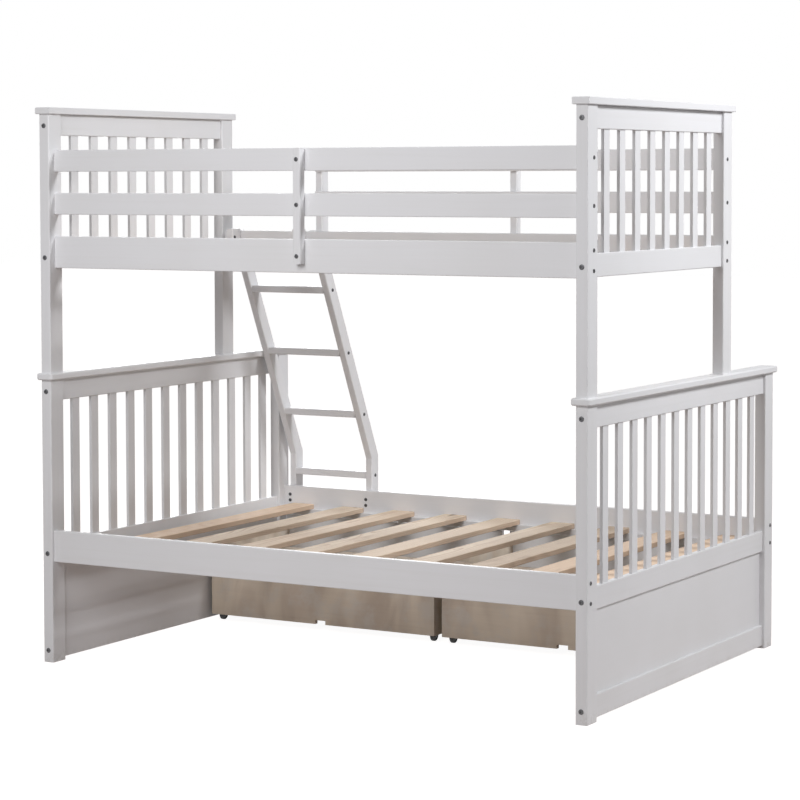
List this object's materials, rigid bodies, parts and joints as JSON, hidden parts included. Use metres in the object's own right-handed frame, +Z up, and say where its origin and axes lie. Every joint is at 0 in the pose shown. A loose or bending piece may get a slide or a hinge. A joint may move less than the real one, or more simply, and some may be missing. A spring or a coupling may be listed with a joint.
{
  "type": "bunk bed with ladder",
  "caption": "Bunk bed with a wide lower bed, a narrower guarded upper bed, a bent ladder and drawers on casters below.",
  "frame": {"origin": "on the floor below the middle of the whole bed, ladder included", "axes": "+X along the bed, away from the ladder's end; +Y across the bed from the wall side to the ladder side; +Z up"},
  "size_m": [2.026, 1.5076, 1.839],
  "materials": {
    "white_paint": "satin white paint",
    "raw_pine": "planed, unfinished",
    "drawer_board": "raw board",
    "caster_steel": "black",
    "caster_wheel": "moulded"
  },
  "bodies": {
    "bed_frame": {"ladder_head_blocks": "white_paint", "ladder_left_stile": "white_paint", "ladder_right_stile": "white_paint", "ladder_rungs": "white_paint", "ladder_side_cleat": "white_paint", "lower_back_side_rail": "white_paint", "lower_bed_slats": "raw_pine", "lower_front_side_rail": "white_paint", "lower_left_bottom_rail": "white_paint", "lower_left_cap": "white_paint", "lower_left_mid_rail": "white_paint", "lower_left_panel": "white_paint", "lower_left_posts": "white_paint", "lower_left_slats": "white_paint", "lower_left_top_rail": "white_paint", "lower_right_bottom_rail": "white_paint", "lower_right_cap": "white_paint", "lower_right_mid_rail": "white_paint", "lower_right_panel": "white_paint", "lower_right_posts": "white_paint", "lower_right_slats": "white_paint", "lower_right_top_rail": "white_paint", "lower_slat_ledges": "raw_pine", "upper_back_cleat": "white_paint", "upper_back_mid_guard": "white_paint", "upper_back_side_rail": "white_paint", "upper_back_top_guard": "white_paint", "upper_bed_slats": "raw_pine", "upper_front_cleat": "white_paint", "upper_front_mid_guard": "white_paint", "upper_front_side_rail": "white_paint", "upper_front_top_guard": "white_paint", "upper_left_bottom_rail": "white_paint", "upper_left_cap": "white_paint", "upper_left_posts": "white_paint", "upper_left_slats": "white_paint", "upper_left_top_rail": "white_paint", "upper_right_bottom_rail": "white_paint", "upper_right_cap": "white_paint", "upper_right_posts": "white_paint", "upper_right_slats": "white_paint", "upper_right_top_rail": "white_paint", "upper_slat_ledges": "raw_pine"},
    "left_drawer": {"left_drawer_back": "drawer_board", "left_drawer_bottom": "drawer_board", "left_drawer_caster_forks": "caster_steel", "left_drawer_front": "white_paint", "left_drawer_knobs": "white_paint", "left_drawer_sides": "drawer_board"},
    "left_front_wheels": {"left_drawer_front_wheels": "caster_wheel"},
    "left_rear_wheels": {"left_drawer_rear_wheels": "caster_wheel"},
    "right_drawer": {"right_drawer_back": "drawer_board", "right_drawer_bottom": "drawer_board", "right_drawer_caster_forks": "caster_steel", "right_drawer_front": "white_paint", "right_drawer_knobs": "white_paint", "right_drawer_sides": "drawer_board"},
    "right_front_wheels": {"right_drawer_front_wheels": "caster_wheel"},
    "right_rear_wheels": {"right_drawer_rear_wheels": "caster_wheel"}
  },
  "joints": [
    {"name": "left_drawer_slide", "type": "slide", "parent": "bed_frame", "child": "left_drawer", "axis": [0, 1, 0], "range_m": [0, 0.5]},
    {"name": "left_front_wheels_roll", "type": "hinge", "parent": "left_drawer", "child": "left_front_wheels", "pos_m": [-0.49, 0.66125, 0.02], "axis": [1, 0, 0], "range_deg": [-1440, 0]},
    {"name": "left_rear_wheels_roll", "type": "hinge", "parent": "left_drawer", "child": "left_rear_wheels", "pos_m": [-0.49, 0.22125, 0.02], "axis": [1, 0, 0], "range_deg": [-1440, 0]},
    {"name": "right_drawer_slide", "type": "slide", "parent": "bed_frame", "child": "right_drawer", "axis": [0, 1, 0], "range_m": [0, 0.5]},
    {"name": "right_front_wheels_roll", "type": "hinge", "parent": "right_drawer", "child": "right_front_wheels", "pos_m": [0.465, 0.66125, 0.02], "axis": [1, 0, 0], "range_deg": [-1440, 0]},
    {"name": "right_rear_wheels_roll", "type": "hinge", "parent": "right_drawer", "child": "right_rear_wheels", "pos_m": [0.465, 0.22125, 0.02], "axis": [1, 0, 0], "range_deg": [-1440, 0]}
  ],
  "couplings": [
    {"joint": "left_front_wheels_roll", "follows": "left_drawer_slide", "rad_per_m": -50},
    {"joint": "left_rear_wheels_roll", "follows": "left_drawer_slide", "rad_per_m": -50},
    {"joint": "right_front_wheels_roll", "follows": "right_drawer_slide", "rad_per_m": -50},
    {"joint": "right_rear_wheels_roll", "follows": "right_drawer_slide", "rad_per_m": -50}
  ]
}
